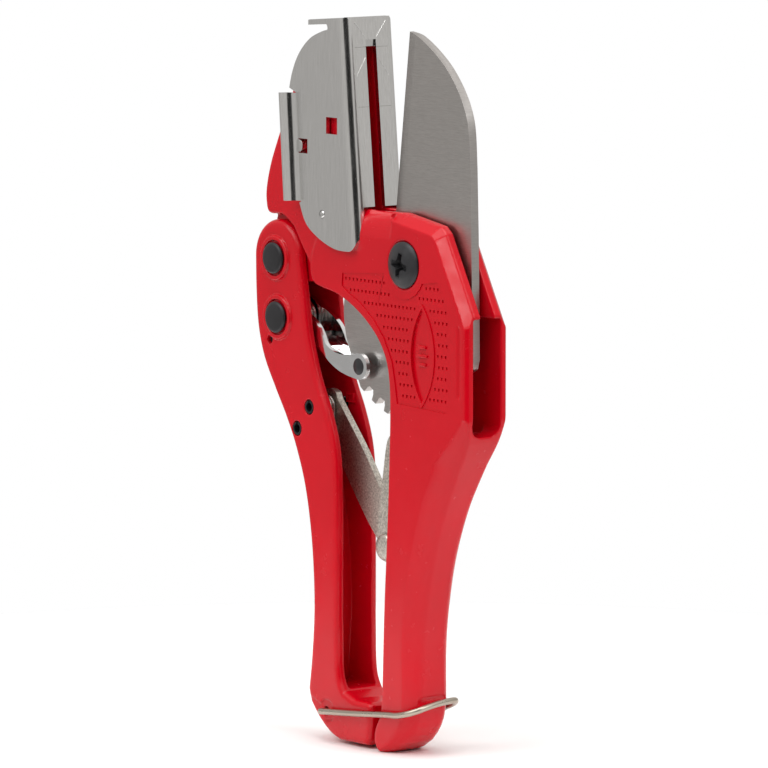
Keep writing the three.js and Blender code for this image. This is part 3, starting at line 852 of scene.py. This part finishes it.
# ---- blade ---------------------------------------------------------------------------
def blade_outline():
    nose = smooth([(-6, 68.8), (-1.4, 67.6), (5, 64.2), (11.6, 59.4), (17, 53.6), (20.8, 47.5),
                   (22.8, 41), (23.6, 30)])
    heel = smooth([(24, -29.6), (20.6, -31.4), (15.6, -32.4), (10, -36.5), (6, -42.4)])
    teeth = []
    for i in range(TOOTH_COUNT):
        at = FIRST_TOOTH + i * TOOTH_PITCH
        teeth += [*arc((0, 0), TOOTH_TIP_R, at, at + 2.4, 4),
                  *arc((0, 0), TOOTH_TIP_R - 1.2, at + 2.9, at + 3.0, 1),
                  *arc((0, 0), TOOTH_ROOT_R + 0.5, at + 3.3, at + 3.5, 1),
                  *arc((0, 0), TOOTH_ROOT_R, at + 4.0, at + 6.6, 4),
                  *arc((0, 0), TOOTH_ROOT_R + 0.9, at + 7.1, at + 7.3, 1)]
    left = smooth([(-33.4, -31), (-36.4, -23.5), (-37.2, -15), (-34.6, -7.6), (-26, -2),
                   (-18.6, 4), (-14.6, 11)])
    return [*nose, (24.2, 10), (24.8, -26.6), *heel, *arc((0, 0), TOOTH_TIP_R, 275, 272, 2),
            *teeth[::-1], *left, (-12.6, 15.4)]


def grind_wedge(side):
    """The ground band behind the cutting edge, taken off one face."""
    along = Vector((6.4, 53.4)).normalized()
    into = Vector((along.y, -along.x))
    foot = Vector((-12.6, 15.4)) - along * 1.5
    section = [(-3, 0.12), (4.2, BLADE_HALF + 0.02), (4.2, 4), (-3, 4)]
    rings = [
        [((p + into * d).x, side * y, (p + into * d).y) for d, y in section]
        for p in (foot, foot + along * 60)
    ]
    return prism("grind", *rings)


def blade():
    body = cut(slab("blade_cover", blade_outline(), -BLADE_HALF, BLADE_HALF), grind_wedge(1),
               grind_wedge(-1), bar("bore", (0, 0), 4.7, -5, 5))
    return soften(body, 0.16, 2, 30)


place(blade(), "blade_body", "blade_steel", BLADE, "blade")

for name, low in (("front", -2.4), ("back", 1.5)):
    ring = cut(bar("blade_washer_" + name + "_cover", (0, 0), 9, low, low + 0.9, 72),
               bar("bore", (0, 0), 4.75, -5, 5))
    place(soften(ring, 0.1), FRAME_BODY, "washer_steel", WASHER, "blade_washer_" + name)


# ---- blade pivot ---------------------------------------------------------------------
def cross_recess(top):
    """A tapered cross recess with splayed wings, cut down from `top`."""
    bm = bmesh.new()
    for turn in range(4):
        spin = Matrix.Rotation(math.radians(90 * turn + 12), 3, "Y")
        mouth = [(0, -1.15), (4.0, -0.95), (4.0, 0.95), (0, 1.15)]
        root = [(0, -0.7), (2.3, -0.55), (2.3, 0.55), (0, 0.7)]
        points = [(x, top - 0.3, z) for x, z in mouth] + [(x, top + 2.5, z) for x, z in root]
        verts = [bm.verts.new(spin @ Vector(p)) for p in points]
        bmesh.ops.convex_hull(bm, input=verts)
    wings = object_from("wings", bm)
    core = turned("core", (0, 0), [(0, top - 0.3), (2.0, top - 0.3), (1.2, top + 2.4),
                                   (0, top + 3.2)], 32)
    return wings, core


def screw_head(reach):
    """A low truss head: profile from the crown to the rim."""
    return [(0, reach), (1.5, reach - 0.02), (3, reach - 0.14), (4.6, reach - 0.46),
            (5.9, reach - 0.98), (6.6, reach - 1.4), (6.9, reach - 1.75), (7.0, reach - 2.0)]


def pivot_screw():
    profile = [(r, -y) for r, y in screw_head(9.9)]
    profile += [(7, -7.7), (6.9, -7.6), (2.4, -7.6), (2.4, 3.4), (2, 3.8), (0, 3.8)]
    body = turned("pivot_screw_cover", (0, 0), profile, 96)
    for tool in cross_recess(-9.9):
        cut(body, tool)
    return soften(body, 0.1, 2, 38)


place(pivot_screw(), FRAME_BODY, "black_oxide", BLACK, "pivot_screw")


def pivot_nut():
    profile = [(0, 4.2), (2.7, 4.2), (2.7, -7.2), (4.6, -7.2), (4.6, 7.6)]
    profile += [(r, y) for r, y in reversed(screw_head(9.6))]
    body = turned("pivot_sleeve_nut_cover", (0, 0), profile, 96)
    slot_tool = block("slot", (-7.4, 8.6, -0.8), (7.4, 11, 0.8))
    return soften(cut(body, slot_tool), 0.1, 2, 38)


place(pivot_nut(), FRAME_BODY, "black_oxide", BLACK, "pivot_sleeve_nut")


# ---- moving handle -------------------------------------------------------------------
def lever_left_edge():
    return smooth([(-73.8, -2.4), (-73.5, -14), (-72.4, -24.3), (-69.4, -33.6), (-63.9, -42.6),
                   (-58.3, -51), (-53.6, -59.6), (-49.2, -71), (-46.3, -84.8), (-44.9, -99),
                   (-44.8, -111), (-45.9, -123.4), (-47.2, -132.6)])


def lever_outline():
    toe = smooth([(-46.2, -136.6), (-42, -141.2), (-36.4, -145.2), (-31.8, -146.8)])
    foot = [(-18.4, -146.8), (-16.4, -145), (-15.9, -141.6), (-15.6, -134.4), (-17.2, -133.6),
            (-24.5, -133.4)]
    right = smooth([(-29.4, -131.5), (-31.8, -126), (-32.3, -112), (-32.3, -91.9),
                    (-32.4, -69), (-33.6, -57.6), (-37.2, -47.6), (-42.4, -37.4),
                    (-46.4, -26), (-48.6, -14), (-50.6, -2.4)])
    return [*lever_left_edge(), *toe, *foot, *right,
            *arc((-62.2, -2.4), 11.6, 0, 180, 40)[1:-1]]


def lever_hollow():
    inner = [(x + WALL, z) for x, z in lever_left_edge()][10:]
    return [(-85, 20), (-85, 2.6), (-70.6, 2.6), *inner, (-43.4, -131), (-20, -131),
            (-10, -120), (-10, 20)]


def moving_handle():
    mass = slab("moving_handle_cover", lever_outline(), -BODY_HALF, BODY_HALF, 1.9, 6)
    bores = [(HANDLE_PIVOT, RIVET_BORE_R), (PAWL_PIVOT, RIVET_BORE_R), (SPRING_HOLE, 1.35),
             (ARM_PIN, ROLL_PIN_BORE_R), (STOP_PIN, ROLL_PIN_BORE_R), (LATCH_PIVOT, 1.3)]
    relief = [
        slab("thumb", [*arc((-37.6, -138.4), 3.6, -60, 150, 14), (-47, -134), (-44, -143)],
             side * (BODY_HALF + 1) - 1.6, side * (BODY_HALF + 1) + 1.6)
        for side in (-1, 1)
    ]
    cut(mass, slab("hollow", lever_hollow(), WALL - BODY_HALF, BODY_HALF - WALL),
        *[bar("bore", at, r, -THROUGH, THROUGH) for at, r in bores], *relief)
    melt(mass, CAST_VOXEL, CAST_RELAX)
    rings = [boss_ring(centre, side) for centre in (HANDLE_PIVOT, PAWL_PIVOT) for side in (-1, 1)]
    return shade(joined(mass, *rings, wall_frame()), 60)


def boss_ring(centre, side):
    """The raised ring that a rivet head sits in."""
    profile = [(4.2, 7.4), (7.4, 7.4), (7.2, 7.95), (6.95, 8.15), (6.8, 8.5), (6.6, 8.75),
               (6.3, 8.85), (5.8, 8.85), (5.5, 8.72), (5.35, 8.4), (5.3, 8.0), (4.2, 8.0)]
    ring = [(r, side * y) for r, y in profile]
    return turned("ring", centre, [*ring, ring[0]], 96)


def wall_frame():
    """A small raised square on the far wall of the channel."""
    x, z = -42.2, -44.3
    inner = BODY_HALF - WALL
    outer_ring = [(x - 1.9, z - 1.5), (x + 1.9, z - 1.5), (x + 1.9, z + 1.5), (x - 1.9, z + 1.5)]
    core = [(x + (px - x) * 0.62, z + (pz - z) * 0.55) for px, pz in outer_ring]
    return cut(slab("frame", outer_ring, inner - 0.7, inner + 0.5, 0.2, 2),
               slab("core", core, inner - 1, inner + 1))


place(moving_handle(), LEVER_BODY, "enamel_red", RED, "moving_handle")

# A black plug sunk in the spring hole: painted shade, a dark piece that stands in for the dark
# depth of the hole.
for name, side in (("front", -1), ("back", 1)):
    plug_profile = [(0, 6.9), (0.8, 6.85), (1.25, 6.6), (1.3, 5.5), (0, 5.5)]
    shade_plug = turned("painted_shade_plug_" + name, SPRING_HOLE,
                     [(r, side * y) for r, y in plug_profile], 32)
    place(soften(shade_plug, 0.05), LEVER_BODY, "black_roll_pin", ROLL_PIN)


def rivet(name, centre):
    half = [(0, 9.7), (3.4, 9.68), (4.1, 9.6), (4.55, 9.42), (4.78, 9.1), (4.8, 8.8), (3.4, 8.8)]
    profile = half + [(r, -y) for r, y in reversed(half)]
    return smooth_to(turned(name, centre, profile, 72), 50)


for name, centre in (("handle_rivet", HANDLE_PIVOT), ("pawl_rivet", PAWL_PIVOT)):
    place(rivet(name + "_cover", centre), LEVER_BODY, "black_rivet", RIVET, name)

for name, centre in (("roll_pin_upper", ARM_PIN), ("roll_pin_lower", STOP_PIN)):
    x, z = centre
    pin = cut(bar(name + "_cover", centre, 2, -7.8, 7.8), bar("bore", centre, 1.4, -9, 9),
              block("split", (x - 0.3, -9, z), (x + 0.3, 9, z + 3)))
    place(soften(pin, 0.12), LEVER_BODY, "black_roll_pin", ROLL_PIN, name)


# ---- pawl and its spring -------------------------------------------------------------
PAWL_OUT = 4.75
PAWL_IN = 3.35
PAWL_TIP = (-25.8, -32.8)


def pawl_cheek():
    top = smooth([(-57.4, -16.6), (-51, -18.8), (-46, -21.8), (-43.6, -24.6), (-41.8, -27.4),
                  (-38, -29.2), (-34.4, -29.8), (-30.4, -29.8)])
    bottom = smooth([(-31, -36), (-35.6, -34.8), (-40.2, -32.6), (-44, -29.8), (-48, -27.8),
                     (-55.8, -26.6)])
    return [*top, *arc(PAWL_TIP, 4, 125, -105, 24), *bottom,
            *arc(PAWL_PIVOT, 5.9, 305, 45, 28)]


def pawl_web():
    inner = smooth([(-36.4, -33), (-40.6, -30.9), (-44.6, -28.2), (-49, -26.2), (-53.4, -25)])
    outer = smooth([(-35.6, -34.8), (-40.2, -32.6), (-44, -29.8), (-48, -27.8),
                    (-54.2, -26.8)])
    return [*inner, *outer[::-1]]


def pawl():
    body = joined(
        slab("pawl_cover", pawl_cheek(), -PAWL_OUT, -PAWL_IN),
        slab("cheek", pawl_cheek(), PAWL_IN, PAWL_OUT),
        slab("web", pawl_web(), -PAWL_OUT + 0.01, PAWL_OUT - 0.01),
    )
    cut(body, bar("bore", PAWL_PIVOT, 3.55, -20, 20))
    return soften(body, 0.3, 3, 38)


place(pawl(), "pawl_body", "pawl_chrome", CHROME, "pawl")

for side in (-1, 1):
    stud = turned("pawl_stud_" + ("front" if side < 0 else "back"), PAWL_TIP,
                  [(0, side * 5.0), (2.3, side * 4.95), (2.6, side * 4.7), (2.6, side * 3.4),
                   (0, side * 3.4)], 40)
    smooth_to(stud, 45)
    place(stud, "pawl_body", "pawl_chrome", BLACK)


def torsion_spring(name, centre, coil_r, wire_r, y_low, turns, pitch, legs):
    x, z = centre
    per_turn = 40
    y_high = y_low + pitch * turns
    coil = []
    for i in range(turns * per_turn + 1):
        t = 2 * math.pi * i / per_turn
        coil.append((x + coil_r * math.cos(t), y_low + pitch * i / per_turn,
                     z - coil_r * math.sin(t)))
    start = [(x + coil_r, y_low, z + legs[0] * k) for k in (1, 0.6, 0.3)]
    end = [(x + coil_r, y_high, z + legs[1] * k) for k in (0.3, 0.6, 1)]
    return tube(name, [*start, *coil, *end], wire_r)


place(torsion_spring("pawl_spring_cover", PAWL_PIVOT, 4.8, 0.6, -2.5, 4, 1.25, (8, -4.5)),
      "pawl_body", "spring_steel", SPRING, "pawl_spring")
place(torsion_spring("return_spring_cover", ARM_PIN, 3.1, 0.55, -4.5, 3, 1.25, (6, -8)),
      LEVER_BODY, "spring_steel", SPRING, "return_spring")


# ---- knee linkage --------------------------------------------------------------------
def link_arm():
    upper = smooth([(-42.2, -44.4), (-37.2, -50), (-29.9, -58.2), (-22.7, -67.6),
                    (-16.6, -76), (-11.4, -84)])
    lower = smooth([(-19.2, -88.4), (-28.2, -79.2), (-37.4, -67.9), (-46.6, -56),
                    (-50.6, -50)])
    outline = [*upper, *arc(KNEE, 4.6, 20, -150, 24), *lower, *arc(ARM_PIN, 5.2, 200, 50, 24)]
    plate = cut(slab("link_arm_cover", outline, 0, 2.2), bar("bore", ARM_PIN, 2.15, -5, 5),
                bar("bore", KNEE, 2.15, -5, 5))
    return soften(plate, 0.18, 2, 40)


def link_plate():
    left = smooth([(-19.6, -85.4), (-18.6, -76), (-16.6, -64), (-14.6, -54.4), (-11.4, -51.6)])
    outline = [*arc(KNEE, 4.5, -20, -170, 24), *left, *arc(LINK_PIN, 4.2, 110, -20, 24)]
    plate = cut(slab("link_plate_cover", outline, -2.5, -0.3), bar("bore", LINK_PIN, 2.1, -5, 5),
                bar("bore", KNEE, 2.6, -5, 5))
    return soften(plate, 0.18, 2, 40)


def knee_rivet():
    profile = [(0, -4), (2.4, -3.98), (3.3, -3.85), (3.85, -3.5), (4, -3.1), (3.9, -2.8),
               (2, -2.8), (2, 2.5), (3.4, 2.5), (3.4, 3.1), (3.1, 3.5), (2.5, 3.6), (0, 3.6)]
    return smooth_to(turned("knee_rivet_cover", KNEE, profile, 64), 50)


place(link_arm(), "link_arm_body", "satin_nickel", NICKEL, "link_arm")
place(link_plate(), "link_plate_body", "satin_nickel", NICKEL, "link_plate")
place(knee_rivet(), "link_arm_body", "satin_nickel", NICKEL, "knee_rivet")
link_pin = bar("link_pin_cover", LINK_PIN, 1.95, -6.3, 6.3)
place(soften(link_pin, 0.25), FRAME_BODY, "washer_steel", WASHER, "link_pin")


# ---- latch ---------------------------------------------------------------------------
def latch_bail():
    """A slightly twisted loop: its far side lies higher round the casting's foot."""
    x, z = LATCH_PIVOT
    twist = 0.13
    side = [(x, 6.2, z), (x, 8, z), (x + 0.4, 9.2, z + 0.05), (x + 1.8, 9.7, z + 0.2),
            (-22, 9.7, -137.2), (-6, 9.7, -135.6), (-1, 9.7, -134.7), (3.2, 9.1, -133.4),
            (5.9, 7.2, -132.3), (6.7, 4.6, -131.8)]

    def lift(px, py):
        return twist * py * min(max((px + 6) / 12, 0), 1)

    near = [(px, -py, pz + lift(px, -py)) for px, py, pz in side]
    far = [(px, py, pz + lift(px, py)) for px, py, pz in side]
    return tube("latch_bail_cover", smooth([*near, (6.8, 0, -131.6), *far[::-1]], 10), WIRE_R)


place(latch_bail(), "latch_body", "latch_wire", WIRE, "latch_bail")


# ---- floor, light and camera ---------------------------------------------------------
def paper():
    s = Shader("paper_floor")
    s.set(Specular_IOR_Level=0.2)
    s.tint(s.noise(3, detail=2), (0.92, 0.92, 0.92), (0.935, 0.935, 0.935))
    s.spread(s.noise(40), 0.6, 0.75, "Roughness")
    return s.material


def floor():
    """A pale disc just large enough to take the contact shadow."""
    bm = bmesh.new()
    bmesh.ops.create_circle(bm, cap_ends=True, segments=96, radius=0.3)
    disc = object_from("floor", bm)
    disc.data.materials.append(paper())


def heading(azimuth, elevation):
    """The unit vector towards an azimuth and elevation in degrees; azimuth 0 is -Y."""
    a, e = math.radians(azimuth), math.radians(elevation)
    return Vector((math.sin(a) * math.cos(e), -math.cos(a) * math.cos(e), math.sin(e)))


def area_light(name, azimuth, elevation, distance, size, power):
    away = heading(azimuth, elevation)
    data = bpy.data.lights.new(name, "AREA")
    data.shape = "RECTANGLE"
    data.size = data.size_y = size
    data.energy = power
    lamp = bpy.data.objects.new(name, data)
    bpy.context.scene.collection.objects.link(lamp)
    lamp.location = TARGET + away * distance
    lamp.rotation_euler = away.to_track_quat("Z", "Y").to_euler()


def studio_world():
    """White behind the object; around it a grey room with a dark bay, as steel reflects it."""
    world = bpy.data.worlds.new("studio")
    world.use_nodes = True
    tree = world.node_tree
    tree.nodes.clear()

    def add(kind, **values):
        node = tree.nodes.new(kind)
        for key, value in values.items():
            setattr(node, key, value)
        return node

    def ramp(stops, source):
        node = add("ShaderNodeValToRGB")
        node.color_ramp.interpolation = "EASE"
        elements = node.color_ramp.elements
        while len(elements) < len(stops):
            elements.new(0.5)
        for element, (at, grey) in zip(elements, stops):
            element.position = at
            element.color = (grey, grey * 0.985, grey * 0.97, 1)
        tree.links.new(source, node.inputs["Fac"])
        return node.outputs["Color"]

    coords = add("ShaderNodeTexCoord").outputs["Generated"]
    parts = add("ShaderNodeSeparateXYZ")
    tree.links.new(coords, parts.inputs[0])
    height = add("ShaderNodeMapRange")
    height.inputs["From Min"].default_value = -1
    tree.links.new(parts.outputs["Z"], height.inputs["Value"])
    room = ramp(ROOM, height.outputs["Result"])
    aim = add("ShaderNodeVectorMath", operation="DOT_PRODUCT")
    aim.inputs[1].default_value = heading(*DARK_BAY)
    tree.links.new(coords, aim.inputs[0])
    bay = ramp(BAY_EDGE, aim.outputs["Value"])
    dimmed = add("ShaderNodeMix", data_type="RGBA", blend_type="MULTIPLY")
    dimmed.inputs["Factor"].default_value = 1
    tree.links.new(room, dimmed.inputs["A"])
    tree.links.new(bay, dimmed.inputs["B"])
    lit, white = add("ShaderNodeBackground"), add("ShaderNodeBackground")
    white.inputs["Color"].default_value = (1, 1, 1, 1)
    tree.links.new(dimmed.outputs["Result"], lit.inputs["Color"])
    mix = add("ShaderNodeMixShader")
    tree.links.new(add("ShaderNodeLightPath").outputs["Is Camera Ray"], mix.inputs["Fac"])
    tree.links.new(lit.outputs[0], mix.inputs[1])
    tree.links.new(white.outputs[0], mix.inputs[2])
    tree.links.new(mix.outputs[0], add("ShaderNodeOutputWorld").inputs["Surface"])
    bpy.context.scene.world = world


# stops of the room's brightness from floor to ceiling, as (height, grey)
ROOM = [(0.0, 0.45), (0.44, 0.42), (0.52, 0.55), (0.70, 0.62), (0.95, 0.9)]
DARK_BAY = (50, 4)  # azimuth and elevation of the bay's middle
# stops of the bay's brightness by the cosine from its middle, as (cosine, grey)
BAY_EDGE = [(0.0, 1.0), (0.86, 1.0), (0.93, 0.05), (1.0, 0.03)]
# name, azimuth, elevation, distance and size in metres, power in watts
LIGHTS = [("key", -12, 46, 1.5, 0.9, 7.4), ("side", 98, 38, 1.5, 0.8, 6.2),
          ("top", 60, 80, 1.2, 0.6, 5.8), ("glint", 30, 34, 1.5, 0.16, 1.1)]
VIEW_AZIMUTH = 52.0
VIEW_ELEVATION = 6.5
VIEW_DISTANCE = 2.2
SENSOR_WIDTH = 36  # millimetres
FOCAL_LENGTH = 343.7
TARGET = PIVOT + Vector((-19.4, 0, -37.8)) * MM


def camera():
    away = heading(VIEW_AZIMUTH, VIEW_ELEVATION)
    data = bpy.data.cameras.new("camera")
    data.sensor_width = SENSOR_WIDTH
    data.lens = FOCAL_LENGTH
    data.clip_end = 60
    cam = bpy.data.objects.new("camera", data)
    bpy.context.scene.collection.objects.link(cam)
    cam.location = TARGET + away * VIEW_DISTANCE
    cam.rotation_euler = away.to_track_quat("Z", "Y").to_euler()
    bpy.context.scene.camera = cam


floor()
studio_world()
for light in LIGHTS:
    area_light(*light)
camera()
bpy.context.scene.view_settings.view_transform = "Standard"
